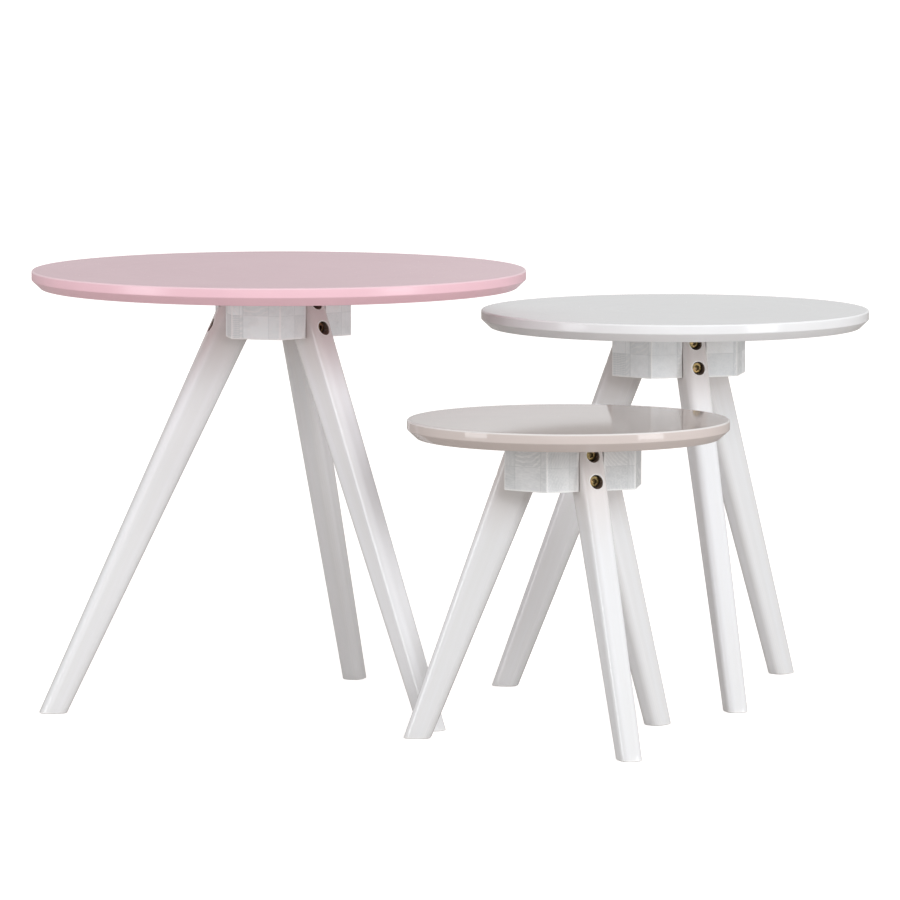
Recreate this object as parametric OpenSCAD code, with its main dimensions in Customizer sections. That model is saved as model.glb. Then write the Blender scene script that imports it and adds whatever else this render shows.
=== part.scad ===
// Nest of three round tables: each has a chamfered top, a slotted hub block under it and three splayed legs.
// Millimetres. The origin is on the floor, at the middle of the nest's outline, with +Z up and -Y the front.

/* [Large table] */
// Diameter of the large top
large_top_d = 500; // [440:10:600]
// Height of the large table
large_h = 446; // [425:1:560]
// Distance from the large table's axis to the middle of each foot
large_foot_r = 233.5; // [190:0.5:290]
// Direction of the large table's left leg, in degrees, counted from +X towards +Y
large_leg_angle = 191.7; // [150:0.1:230]

/* [Medium table] */
// Diameter of the medium top
medium_top_d = 399; // [330:1:480]
// How much lower the medium table is than the large one
medium_drop = 51; // [32:1:90]
// Distance from the medium table's axis to the middle of each foot
medium_foot_r = 178; // [145:0.5:215]
// Direction of the medium table's left leg, in degrees
medium_leg_angle = 168.8; // [140:0.1:190]
// Place of the medium table to the right of the large one
medium_right = 404.5; // [390:0.5:600]
// Place of the medium table behind the large one
medium_behind = 130.5; // [120:0.5:300]

/* [Small table] */
// Diameter of the small top
small_top_d = 316.5; // [260:0.5:380]
// How much lower the small table is than the medium one
small_drop = 77; // [68:1:120]
// Distance from the small table's axis to the middle of each foot
small_foot_r = 150; // [120:0.5:180]
// Direction of the small table's left leg, in degrees
small_leg_angle = 172.3; // [150:0.1:190]
// Place of the small table to the right of the large one
small_right = 289; // [280:0.5:500]
// Place of the small table in front of the large one
small_before = 251.5; // [240:0.5:400]

/* [Tops] */
// Thickness of each top
top_t = 18; // [14:0.5:25]
// Height of the chamfer under the rim
chamfer_h = 8.5; // [4:0.5:10]
// Width of the chamfer under the rim
chamfer_w = 9; // [4:0.5:14]
// Radius of the eased upper rim
rim_r = 1.8; // [0.5:0.1:3]

/* [Hub block] */
// Height of the hub block
hub_h = 48; // [46:1:70]
// Width of the three faces that hold the legs
hub_leg_face_w = 94; // [84:1:120]
// Width of the three faces between the legs
hub_gap_face_w = 52; // [46:1:70]
// Distance from the table's axis to the back wall of each leg slot
slot_back_r = 24; // [22:0.5:27]
// Gap between a leg and each wall of its slot
slot_gap = 0.5; // [0.1:0.1:0.6]

/* [Legs] */
// Distance from the table's axis to the leg's centre line at the hub's lower face
leg_hub_r = 53.5; // [50:0.5:58]
// Leg size across the table's radius, at the hub's lower face
leg_hub_depth = 39; // [34:0.5:46]
// Leg size across the table's radius, at the floor
leg_foot_depth = 25; // [18:0.5:34]
// Leg width at the hub's lower face
leg_hub_w = 25; // [20:0.5:30]
// Leg width at the floor
leg_foot_w = 21.5; // [16:0.5:28]
// Radius of the leg's rounded edges
leg_edge_r = 8; // [3:0.5:9]

/* [Leg screws] */
// Depth of a counterbore, from the leg's outer face to the screw's seat
sink_depth = 11; // [8:0.5:14]
// Height of the lower screw above the hub's lower face
screw_low = 10.5; // [10:0.5:14]
// Distance between the two screws of one leg
screw_pitch = 25; // [20:0.5:28]
// Diameter of a leg screw's shank
screw_d = 6; // [4:0.5:7]
// Diameter of a leg screw's head
screw_head_d = 11.6; // [9:0.1:14]
// Gap round a leg screw's head in its counterbore
head_gap = 0.9; // [0.2:0.1:1.5]
// Height of a leg screw's head
screw_head_h = 4.2; // [3:0.1:6]
// Distance from the table's axis to a leg screw's tip
screw_tip_r = 7; // [6:0.5:12]
// Width of the six-sided socket in a screw's head, across its corners
socket_d = 5.8; // [3:0.1:6]
// Depth of the socket in a screw's head
socket_depth = 2.6; // [1.5:0.1:2.8]
// Gap round a screw in its hole
screw_gap = 0.25; // [0.05:0.05:0.4]

/* [Top screws] */
// Distance from the table's axis to each top screw
top_screw_r = 46; // [42:0.5:50]
// Diameter of a top screw's shank
top_screw_d = 5; // [4:0.5:6]
// Diameter of a top screw's head
top_screw_head_d = 10; // [8:0.5:12]
// Depth of the counterbore for a top screw's head
top_screw_sink = 20; // [10:1:28]
// How far a top screw enters the top
top_screw_bite = 11; // [6:0.5:12]

/* [Hidden] */
LARGE = 0;
MEDIUM = 1;
SMALL = 2;
LEFT = 0;
FRONT = 1;
BACK = 2;
LEGS = 3;

$fn = 96;
// Cutting tools run this far past the face that they cut
past = 1;
// A leg is made this much too long at each end and then cut level
spare = 60;
// Thickness of the two end slices that a leg is stretched between
slice = 0.1;
// Facets of a leg's rounded edges
edge_fn = 32;
// Points along the eased rim of a top
rim_steps = 6;

top_r = [large_top_d, medium_top_d, small_top_d] / 2;
medium_h = large_h - medium_drop;
small_h = medium_h - small_drop;
height = [large_h, medium_h, small_h];
foot_r = [large_foot_r, medium_foot_r, small_foot_r];
leg_angle = [large_leg_angle, medium_leg_angle, small_leg_angle];
top_colour = [[0.93, 0.73, 0.76], [0.93, 0.93, 0.94], [0.80, 0.75, 0.72]];
hub_colour = [0.86, 0.86, 0.85];
leg_colour = [0.96, 0.95, 0.94];
screw_colour = [0.72, 0.58, 0.30];

// Where the tables stand, counted from the large table's axis
stand = [[0, 0], [medium_right, medium_behind], [small_right, -small_before]];
low = [for (k = [0, 1]) min([for (t = [LARGE, MEDIUM, SMALL]) stand[t][k] - top_r[t]])];
high = [for (k = [0, 1]) max([for (t = [LARGE, MEDIUM, SMALL]) stand[t][k] + top_r[t]])];
origin = (low + high) / 2;

// Heights of a table's faces: underside of the top and lower face of the hub
function under_z(t) = height[t] - top_t;
function hub_z(t) = under_z(t) - hub_h;
// Angle between a leg and the vertical, and the leg's length from the floor to the hub's lower face
function lean(t) = atan((foot_r[t] - leg_hub_r) / hub_z(t));
function leg_run(t) = norm([foot_r[t] - leg_hub_r, hub_z(t)]);
// Leg size at a distance s up its centre line, the taper carrying on past both ends
function taper(t, s, foot_size, hub_size) = foot_size + (hub_size - foot_size) * s / leg_run(t);
// Length of a leg up to the underside of the top
function leg_full(t) = under_z(t) / cos(lean(t));
// Slots take a leg at its widest, which is at the underside of the top
function slot_w(t) = taper(t, leg_full(t), leg_foot_w, leg_hub_w) + 2 * slot_gap;
// Distance from the table's axis to the hub faces that hold the legs
hub_leg_face_r = (hub_leg_face_w + 2 * hub_gap_face_w) / (2 * sqrt(3));
// Heights of the two leg screws, and the distance from the axis to a leg's outer face there
function screw_z(t) = [for (k = [0, 1]) hub_z(t) + screw_low + k * screw_pitch];
function outer_r(t, z) = foot_r[t] - z * tan(lean(t))
    + taper(t, z / cos(lean(t)), leg_foot_depth, leg_hub_depth) / 2 / cos(lean(t));
function seat_r(t, z) = outer_r(t, z) - sink_depth;
sink_d = screw_head_d + 2 * head_gap;
screw_hole_d = screw_d + 2 * screw_gap;

// Put a table's pieces where the table stands, and turn a leg's pieces to the leg's direction
module at_table(t) {
    translate([stand[t][0] - origin[0], stand[t][1] - origin[1], 0]) children();
}
module at_leg(t, side) {
    at_table(t) rotate([0, 0, leg_angle[t] + side * 360 / LEGS]) children();
}
// Point a cylinder outwards from the table's axis at height z
module outwards(r, z) {
    translate([r, 0, z]) rotate([0, 90, 0]) children();
}

// Round board: flat underside, chamfer, upright band and an eased upper rim
module top_board(t) {
    rim = [for (k = [0:rim_steps]) [
        top_r[t] - rim_r + rim_r * cos(90 * k / rim_steps),
        top_t - rim_r + rim_r * sin(90 * k / rim_steps)
    ]];
    profile = concat([[0, 0], [top_r[t] - chamfer_w, 0], [top_r[t], chamfer_h]], rim, [[0, top_t]]);
    color(top_colour[t]) at_table(t) difference() {
        translate([0, 0, under_z(t)]) rotate_extrude() polygon(profile);
        for (side = [LEFT, FRONT, BACK]) {
            top_screw_place(t, side)
                translate([0, 0, under_z(t) - past])
                    cylinder(d = top_screw_d + 2 * screw_gap, h = top_screw_bite + past + screw_gap);
        }
    }
}

// Top screws stand in the middle of the solid parts between two slots
module top_screw_place(t, side) {
    rotate([0, 0, leg_angle[t] + (side + 0.5) * 360 / LEGS]) translate([top_screw_r, 0, 0]) children();
}

// Six-sided block with alternating face widths, and a slot for a leg in each wider face
module hub_block(t) {
    outline = [for (side = [LEFT, FRONT, BACK], end = [-1, 1])
        let (a = side * 360 / LEGS, x = hub_leg_face_r, y = end * hub_leg_face_w / 2)
        [x * cos(a) - y * sin(a), x * sin(a) + y * cos(a)]
    ];
    color(hub_colour) at_table(t) difference() {
        translate([0, 0, hub_z(t)]) rotate([0, 0, leg_angle[t]]) linear_extrude(hub_h) polygon(outline);
        for (side = [LEFT, FRONT, BACK]) {
            rotate([0, 0, leg_angle[t] + side * 360 / LEGS]) {
                translate([slot_back_r, -slot_w(t) / 2, hub_z(t) - past])
                    cube([hub_leg_face_r, slot_w(t), hub_h + 2 * past]);
                for (z = screw_z(t)) {
                    outwards(screw_tip_r - screw_gap, z)
                        cylinder(d = screw_hole_d, h = slot_back_r + past - screw_tip_r + screw_gap);
                }
            }
            top_screw_place(t, side) {
                translate([0, 0, hub_z(t) - past])
                    cylinder(d = top_screw_head_d + 2 * screw_gap, h = top_screw_sink + past);
                translate([0, 0, hub_z(t)])
                    cylinder(d = top_screw_d + 2 * screw_gap, h = hub_h + past);
            }
        }
    }
}

// Rounded cross-section of a leg, s up its centre line
module leg_slice(t, s) {
    flat_depth = taper(t, s, leg_foot_depth, leg_hub_depth) - 2 * leg_edge_r;
    flat_w = taper(t, s, leg_foot_w, leg_hub_w) - 2 * leg_edge_r;
    translate([0, 0, s]) linear_extrude(slice)
        offset(r = leg_edge_r, $fn = edge_fn) square([flat_depth, flat_w], center = true);
}

// Tapered bar that leans in, cut level at the floor and at the top, and upright where it meets the hub
module leg(t, side) {
    color(leg_colour) at_leg(t, side) difference() {
        intersection() {
            translate([foot_r[t], 0, 0]) rotate([0, -lean(t), 0]) hull() {
                leg_slice(t, -spare);
                leg_slice(t, leg_full(t) + spare);
            }
            translate([slot_back_r, -leg_hub_w, 0])
                cube([foot_r[t] + leg_foot_depth, 2 * leg_hub_w, under_z(t)]);
        }
        for (z = screw_z(t)) {
            outwards(seat_r(t, z), z) cylinder(d = sink_d, h = 2 * sink_depth);
            outwards(slot_back_r - past, z)
                cylinder(d = screw_hole_d, h = seat_r(t, z) - slot_back_r + 2 * past);
        }
    }
}

// Two screws through one leg into the hub: shank, flat head and six-sided socket
module leg_screws(t, side) {
    color(screw_colour) at_leg(t, side) for (z = screw_z(t)) {
        difference() {
            union() {
                outwards(screw_tip_r, z) cylinder(d = screw_d, h = seat_r(t, z) - screw_tip_r);
                outwards(seat_r(t, z), z) cylinder(d = screw_head_d, h = screw_head_h);
            }
            outwards(seat_r(t, z) + screw_head_h - socket_depth, z)
                cylinder(d = socket_d, h = socket_depth + past, $fn = 6);
        }
    }
}

// Three upright screws that pull the hub against the top
module top_screws(t) {
    seat_z = hub_z(t) + top_screw_sink;
    color(screw_colour) at_table(t) for (side = [LEFT, FRONT, BACK]) {
        top_screw_place(t, side) difference() {
            union() {
                translate([0, 0, seat_z]) cylinder(d = top_screw_d, h = under_z(t) + top_screw_bite - seat_z);
                translate([0, 0, seat_z - screw_head_h]) cylinder(d = top_screw_head_d, h = screw_head_h);
            }
            translate([0, 0, seat_z - screw_head_h - past])
                cylinder(d = socket_d, h = socket_depth + past, $fn = 6);
        }
    }
}

module large_top() top_board(LARGE);
module large_hub() hub_block(LARGE);
module large_left_leg() leg(LARGE, LEFT);
module large_front_leg() leg(LARGE, FRONT);
module large_back_leg() leg(LARGE, BACK);
module large_left_leg_screws() leg_screws(LARGE, LEFT);
module large_front_leg_screws() leg_screws(LARGE, FRONT);
module large_back_leg_screws() leg_screws(LARGE, BACK);
module large_top_screws() top_screws(LARGE);

module medium_top() top_board(MEDIUM);
module medium_hub() hub_block(MEDIUM);
module medium_left_leg() leg(MEDIUM, LEFT);
module medium_front_leg() leg(MEDIUM, FRONT);
module medium_back_leg() leg(MEDIUM, BACK);
module medium_left_leg_screws() leg_screws(MEDIUM, LEFT);
module medium_front_leg_screws() leg_screws(MEDIUM, FRONT);
module medium_back_leg_screws() leg_screws(MEDIUM, BACK);
module medium_top_screws() top_screws(MEDIUM);

module small_top() top_board(SMALL);
module small_hub() hub_block(SMALL);
module small_left_leg() leg(SMALL, LEFT);
module small_front_leg() leg(SMALL, FRONT);
module small_back_leg() leg(SMALL, BACK);
module small_left_leg_screws() leg_screws(SMALL, LEFT);
module small_front_leg_screws() leg_screws(SMALL, FRONT);
module small_back_leg_screws() leg_screws(SMALL, BACK);
module small_top_screws() top_screws(SMALL);

large_top();
large_hub();
large_left_leg();
large_front_leg();
large_back_leg();
large_left_leg_screws();
large_front_leg_screws();
large_back_leg_screws();
large_top_screws();
medium_top();
medium_hub();
medium_left_leg();
medium_front_leg();
medium_back_leg();
medium_left_leg_screws();
medium_front_leg_screws();
medium_back_leg_screws();
medium_top_screws();
small_top();
small_hub();
small_left_leg();
small_front_leg();
small_back_leg();
small_left_leg_screws();
small_front_leg_screws();
small_back_leg_screws();
small_top_screws();
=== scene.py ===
# %% [markdown]
# # A nest of three round tables
# This lesson dresses a small nest of side tables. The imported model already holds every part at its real
# size and place, so nothing is measured again here. The tops, legs and screws are made a second time as
# fine smooth surfaces, because lacquer and polished metal show every flat facet, and each finish is then
# mixed from noise and clear numbers.

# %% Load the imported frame
import math

import bmesh
import bpy
import numpy as np
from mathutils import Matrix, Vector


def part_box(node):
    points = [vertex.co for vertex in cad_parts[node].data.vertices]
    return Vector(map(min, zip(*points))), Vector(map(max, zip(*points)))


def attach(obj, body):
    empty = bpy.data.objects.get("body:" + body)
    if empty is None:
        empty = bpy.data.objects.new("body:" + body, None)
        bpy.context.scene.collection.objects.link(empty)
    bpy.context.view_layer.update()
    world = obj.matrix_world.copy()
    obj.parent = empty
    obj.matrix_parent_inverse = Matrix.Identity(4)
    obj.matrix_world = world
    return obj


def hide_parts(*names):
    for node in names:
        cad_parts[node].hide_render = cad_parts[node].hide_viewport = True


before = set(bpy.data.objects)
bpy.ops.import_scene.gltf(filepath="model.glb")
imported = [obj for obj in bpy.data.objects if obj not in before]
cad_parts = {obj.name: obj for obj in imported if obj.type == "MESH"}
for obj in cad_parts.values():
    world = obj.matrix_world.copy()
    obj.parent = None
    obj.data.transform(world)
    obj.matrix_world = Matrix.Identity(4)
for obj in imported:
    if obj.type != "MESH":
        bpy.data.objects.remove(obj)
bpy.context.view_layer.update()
MM = 0.001
TABLES = ("large", "medium", "small")
SIDES = ("left", "front", "back")
SIDE_TURN = 2 * math.pi / len(SIDES)

# %% [markdown]
# ## Where each table stands
# A round top's box gives its axis, its radius and its height. The flat foot of a leg gives the leg's
# direction and reach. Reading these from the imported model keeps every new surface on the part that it
# stands for.


# %% Read the tables from the frame
def corners(node):
    """Lowest and highest corner of a CAD node as arrays."""
    low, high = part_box(node)
    return np.array(low), np.array(high)


def foot_centre(node):
    """Middle of a leg's flat foot, as x and y: halfway between the outline's extremes on the floor."""
    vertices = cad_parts[node].data.vertices
    flat = np.zeros(len(vertices) * 3)
    vertices.foreach_get("co", flat)
    points = flat.reshape(-1, 3)
    foot = points[points[:, 2] < 0.1 * MM][:, :2]
    return (foot.min(0) + foot.max(0)) / 2


def read_table(name):
    """Axis, radius and heights of one table, and the direction and reach of its three legs."""
    low, high = corners(name + "_top")
    axis = (low[:2] + high[:2]) / 2
    reach = [foot_centre(f"{name}_{side}_leg") - axis for side in SIDES]
    return {
        "axis": axis,
        "radius": (high[0] - low[0]) / 2,
        "under_z": low[2],
        "top_z": high[2],
        "hub_z": corners(name + "_hub")[0][2],
        "foot_r": float(np.mean([np.linalg.norm(r) for r in reach])),
        "turn": math.atan2(reach[0][1], reach[0][0]),
    }


def leg_turn(t, side):
    """Direction of a leg about its table's axis."""
    return t["turn"] + SIDES.index(side) * SIDE_TURN


table = {name: read_table(name) for name in TABLES}
for name, t in table.items():
    print(name, "axis", t["axis"].round(4), "radius", round(t["radius"], 4), "reach", round(t["foot_r"], 4))

# %% [markdown]
# ## Turning a grid of points into a mesh
# Nearly every piece here is a sheet of points: one direction runs round it and the other along it. One
# helper joins neighbours into four-sided faces and closes the seam, and another shuts an end with a fan of
# triangles. Rings run anticlockwise as seen from above, so every face looks outwards.


# %% Mesh helpers
def grid_faces(rows, columns, first=0):
    """Four-sided faces between neighbouring rows, with the last column joined to the first one."""
    r, c = np.meshgrid(np.arange(rows - 1), np.arange(columns), indexing="ij")
    n = (c + 1) % columns
    here, above = r * columns, (r + 1) * columns
    return np.stack([here + c, here + n, above + n, above + c], -1).reshape(-1, 4) + first


def fan_faces(ring, centre, down=False):
    """Triangles from each edge of a closed ring of point numbers to one centre point, looking up or down."""
    ring = np.asarray(ring)
    following = np.roll(ring, -1)
    pair = [following, ring] if down else [ring, following]
    return np.stack(pair + [np.full(len(ring), centre)], -1)


def make_object(name, vertices, face_groups, sharp_angle):
    """A mesh object at the origin, shaded smooth except across edges sharper than the angle in degrees."""
    mesh = bpy.data.meshes.new(name)
    mesh.from_pydata(np.asarray(vertices).tolist(), [], [f for group in face_groups for f in group.tolist()])
    mesh.update()
    mesh.shade_smooth()
    mesh.set_sharp_from_angle(angle=math.radians(sharp_angle))
    obj = bpy.data.objects.new(name, mesh)
    bpy.context.scene.collection.objects.link(obj)
    return obj


def place(points, axis, turn=0.0):
    """Turn points about the vertical and move them from the origin to a table's axis."""
    c, s = math.cos(turn), math.sin(turn)
    moved = points @ np.array([[c, s, 0], [-s, c, 0], [0, 0, 1]])
    return moved + np.array([axis[0], axis[1], 0])


def lathe(profile, segments):
    """Rows of points: each (radius, height) of a profile becomes a ring of equal steps in angle."""
    angle = np.linspace(0, 2 * np.pi, segments, endpoint=False)
    r, z = profile[:, :1], profile[:, 1:]
    return np.stack([r * np.cos(angle), r * np.sin(angle), z + 0 * angle], -1)


def closed_lathe(rows):
    """Vertices and faces of a turned solid: the rows, and a fan to a pole at each end."""
    count, segments = rows.shape[:2]
    poles = np.stack([rows[0].mean(0), rows[-1].mean(0)])
    last = (count - 1) * segments
    faces = [
        grid_faces(count, segments),
        fan_faces(np.arange(segments), count * segments, down=True),
        fan_faces(np.arange(segments) + last, count * segments + 1),
    ]
    return np.concatenate([rows.reshape(-1, 3), poles]), faces


def belongs(obj, body, slot, *nodes):
    """Fix a finished piece to its body and hide the CAD nodes that it stands for. The slot is not used."""
    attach(obj, body)
    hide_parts(*nodes)
    return obj


# %% [markdown]
# ## Round tops
# A top is a board turned on a lathe: a flat face, an eased upper rim, an upright band, and a wide chamfer
# below that makes the board look thin. Lacquer rounds every corner a little, so each corner of the profile
# becomes a short arc that touches both of its neighbours. A cylinder with a bevel would need the same
# numbers and give less control.

# %% Board profile
TOP_T = table["large"]["top_z"] - table["large"]["under_z"]
CHAMFER_H = 8.5 * MM
CHAMFER_W = 9.0 * MM
RIM_R = 1.8 * MM
SOFT_R = 1.6 * MM
TOP_SEGMENTS = 288
# Rings across each flat side, as shares of its radius
FLAT_RINGS = np.linspace(0.03, 0.97, 12)[:, None]


def rounded_corner(before, corner, after, radius, steps=7):
    """Arc that touches both sides of a corner. It starts radius / tan(half the angle) from the corner."""
    before, corner, after = (np.asarray(p, float) for p in (before, corner, after))
    a = (before - corner) / np.linalg.norm(before - corner)
    b = (after - corner) / np.linalg.norm(after - corner)
    half = math.acos(float(a @ b)) / 2
    middle = corner + (a + b) / np.linalg.norm(a + b) * radius / math.sin(half)
    share = np.linspace(0, 1, steps)[:, None]
    run = radius / math.tan(half)
    spoke = (1 - share) * (corner + a * run) + share * (corner + b * run) - middle
    return middle + spoke / np.linalg.norm(spoke, axis=1, keepdims=True) * radius


def board_profile(radius):
    """Half of the board's section: out underneath, up the chamfer and the band, and in along the face."""
    inner, outer, edge = [radius - CHAMFER_W, 0], [radius, CHAMFER_H], [radius, TOP_T]
    under = FLAT_RINGS * np.array([[radius - CHAMFER_W, 0]])
    face = FLAT_RINGS[::-1] * np.array([[radius - RIM_R, 0]]) + np.array([[0, TOP_T]])
    return np.concatenate([
        under,
        rounded_corner([0, 0], inner, outer, SOFT_R / 2),
        rounded_corner(inner, outer, edge, SOFT_R),
        rounded_corner(outer, edge, [0, TOP_T], RIM_R),
        face,
    ])


# %% Make the tops
def make_top(name):
    """Turned board of one table, from its profile."""
    t = table[name]
    rows = lathe(board_profile(t["radius"]) + np.array([[0, t["under_z"]]]), TOP_SEGMENTS)
    vertices, faces = closed_lathe(rows)
    obj = make_object(name + "_top_lacquered", place(vertices, t["axis"]), faces, sharp_angle=60)
    return belongs(obj, name + "_table", name + "_top_lacquer", name + "_top")


tops = {name: make_top(name) for name in TABLES}
print("tops", {name: len(obj.data.polygons) for name, obj in tops.items()})

# %% [markdown]
# ## Splayed legs
# A leg is a tapered bar with well-rounded edges. It leans in towards the hub, and it is cut level at both
# ends. Here it is a stack of level slices: each is the bar's rounded section, stretched a little because
# the cut is slanted. The two screw holes are part of the grid. A square of cells is left out, and the
# points around it are drawn to a circle, with a pull that fades. The rounded lip, the wall and the seat
# then grow inwards from that circle.

# %% Leg sizes
LEG_HUB_R = 53.5 * MM
LEG_DEPTH = (25.0 * MM, 39.0 * MM)
LEG_WIDTH = (21.5 * MM, 25.0 * MM)
LEG_EDGE_R = 8.0 * MM
SLOT_BACK_R = 24.0 * MM
FOOT_EASE = 1.2 * MM
HOLE_R = 6.7 * MM
HOLE_DEPTH = 11.0 * MM
HOLE_LOW = 10.5 * MM
HOLE_PITCH = 25.0 * MM
LIP_R = 0.6 * MM
LIP_STEPS = 4
CORNER_STEPS = 6
SIDE_STEPS = 5
SHAFT_SLICES = 40
CELL = 1.3 * MM
# Cells from the hole's middle to the edge of the block that is left out, and to where the pull ends
BLOCK = 4
REACH = 7


# %% Leg measures
def leg_slope(t):
    """How far a leg's axis comes in for each unit of height."""
    return (t["foot_r"] - LEG_HUB_R) / t["hub_z"]


def axis_r(t, z):
    """Distance of the leg's axis from the table's axis at height z: a straight line from foot to hub."""
    return t["foot_r"] - z * leg_slope(t)


def tapered(t, z, ends):
    """Size of the bar at height z: it changes evenly from foot to hub, and on in the same way above."""
    return ends[0] + (ends[1] - ends[0]) * z / t["hub_z"]


def stretch(t):
    """A level cut through the leaning bar is longer than its section by 1 / cos(lean)."""
    return math.hypot(1, leg_slope(t))


def outer_face(t, y, z):
    """Distance of the outer face at (y, z): axis + half depth, less the drop of the rounded edge."""
    depth, width = tapered(t, z, LEG_DEPTH), tapered(t, z, LEG_WIDTH)
    over = np.clip(np.abs(y) - (width / 2 - LEG_EDGE_R), 0, LEG_EDGE_R)
    return axis_r(t, z) + (depth / 2 - LEG_EDGE_R + np.sqrt(LEG_EDGE_R**2 - over**2)) * stretch(t)


def hole_heights(t):
    """Heights of the two screws of a leg."""
    return [t["hub_z"] + HOLE_LOW, t["hub_z"] + HOLE_LOW + HOLE_PITCH]


def seat_r(t, z):
    """Distance from the table's axis to a hole's flat seat: the outer face there, less the hole's depth."""
    return float(outer_face(t, np.zeros(1), z)[0]) - HOLE_DEPTH


# %% Leg surface
def half_section(t, z):
    """One side of the section past the outer face's columns, for each height: round the outer corner, along
    the side, round the inner corner, and along the inner face to its middle. Gives x from the axis, and y."""
    z = z[:, None]
    r = LEG_EDGE_R
    flat_x, flat_y = tapered(t, z, LEG_DEPTH) / 2 - r, tapered(t, z, LEG_WIDTH) / 2 - r
    start = np.arcsin((REACH * CELL - flat_y) / r)
    corner = np.linspace(0, 1, CORNER_STEPS + 1)[None, 1:]
    side = np.linspace(0, 1, SIDE_STEPS + 1)[None, 1:]
    turn = start + (np.pi / 2 - start) * corner
    quarter = np.pi / 2 * corner
    back = np.array([[0.35, 0.7, 1.0]])
    x = [
        flat_x + r * np.cos(turn),
        flat_x * (1 - 2 * side),
        -flat_x - r * np.sin(quarter),
        -flat_x - r + 0 * back,
    ]
    y = [
        flat_y + r * np.sin(turn),
        flat_y + r + 0 * side,
        flat_y + r * np.cos(quarter),
        flat_y * (1 - back),
    ]
    return np.concatenate(x, 1), np.concatenate(y, 1)


def leg_heights(t):
    """Heights of the slices, close together at the foot and the holes, and the row of each hole's middle."""
    low, high = hole_heights(t)
    foot = FOOT_EASE * (1 - np.cos(np.linspace(0, np.pi / 2, 6)))
    cells = np.arange(-REACH, REACH + 1) * CELL
    shaft = np.linspace(foot[-1], low + cells[0], SHAFT_SLICES)[1:-1]
    between = np.linspace(low + cells[-1], high + cells[0], 5)[1:-1]
    end = np.linspace(high + cells[-1], t["under_z"], 4)[1:]
    z = np.concatenate([foot, shaft, low + cells, between, high + cells, end])
    first = len(foot) + len(shaft) + REACH
    return z, (first, first + len(cells) + len(between))


def draw_to_circle(dy, dz):
    """Move points near a hole's middle: a square ring of cells becomes a circle whose radius grows in step
    with the square. The pull is whole at the block that is left out, and fades to nothing at the reach."""
    square = np.maximum(np.abs(dy), np.abs(dz)) / (BLOCK * CELL)
    pull = np.clip((REACH / BLOCK - square) / (REACH / BLOCK - 1), 0, 1)
    length = np.maximum(np.hypot(dy, dz), 1e-9)
    grow = 1 - pull + pull * (HOLE_R + LIP_R) * square / length
    return dy * grow, dz * grow


def leg_grid(t):
    """All slices of a leg as rows of points, with x pointing outwards from the table's axis."""
    z, hole_rows = leg_heights(t)
    y_face, z_face = np.meshgrid(np.arange(-REACH, REACH + 1) * CELL, z)
    for middle in hole_heights(t):
        near = np.abs(z_face - middle) < (REACH + 0.01) * CELL
        dy, dz = draw_to_circle(y_face, z_face - middle)
        y_face, z_face = np.where(near, dy, y_face), np.where(near, middle + dz, z_face)
    half_x, half_y = half_section(t, z)
    half_x = axis_r(t, z)[:, None] + half_x * stretch(t)
    half_z = z[:, None] + 0 * half_x
    x = np.concatenate([outer_face(t, y_face, z_face), half_x, half_x[:, -2::-1]], 1)
    y = np.concatenate([y_face, half_y, -half_y[:, -2::-1]], 1)
    zz = np.concatenate([z_face, half_z, half_z[:, -2::-1]], 1)
    # the foot's sharp edge is eased: each slice shrinks towards the axis along a quarter circle
    rise = np.clip(FOOT_EASE - zz, 0, None)
    shrink = 1 - (FOOT_EASE - np.sqrt(FOOT_EASE**2 - rise**2)) / (LEG_WIDTH[0] / 2)
    x = axis_r(t, zz) + (x - axis_r(t, zz)) * shrink
    # the inner side is cut upright where it meets the back wall of its slot
    return np.stack([np.maximum(x, SLOT_BACK_R), y * shrink, zz], -1), hole_rows


def hole_rings(t, rim, height):
    """Rings from a hole's rim inwards: a quarter-round lip, the straight wall, and the flat seat."""
    angle = np.arctan2(rim[:, 2] - height, rim[:, 1])
    seat = seat_r(t, height)
    lip = np.linspace(0, np.pi / 2, LIP_STEPS + 1)[1:]
    steps = [(rim[:, 0] - LIP_R * (1 - math.cos(a)), HOLE_R + LIP_R * (1 - math.sin(a))) for a in lip]
    wall = steps[-1][0]
    steps += [(wall * (1 - share) + seat * share, HOLE_R) for share in (0.03, 0.35, 0.7, 1.0)]
    steps += [(seat + 0 * wall, HOLE_R * share) for share in (0.8, 0.5)]
    return np.stack([np.stack([x, r * np.cos(angle), height + r * np.sin(angle)], -1) for x, r in steps])


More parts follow.
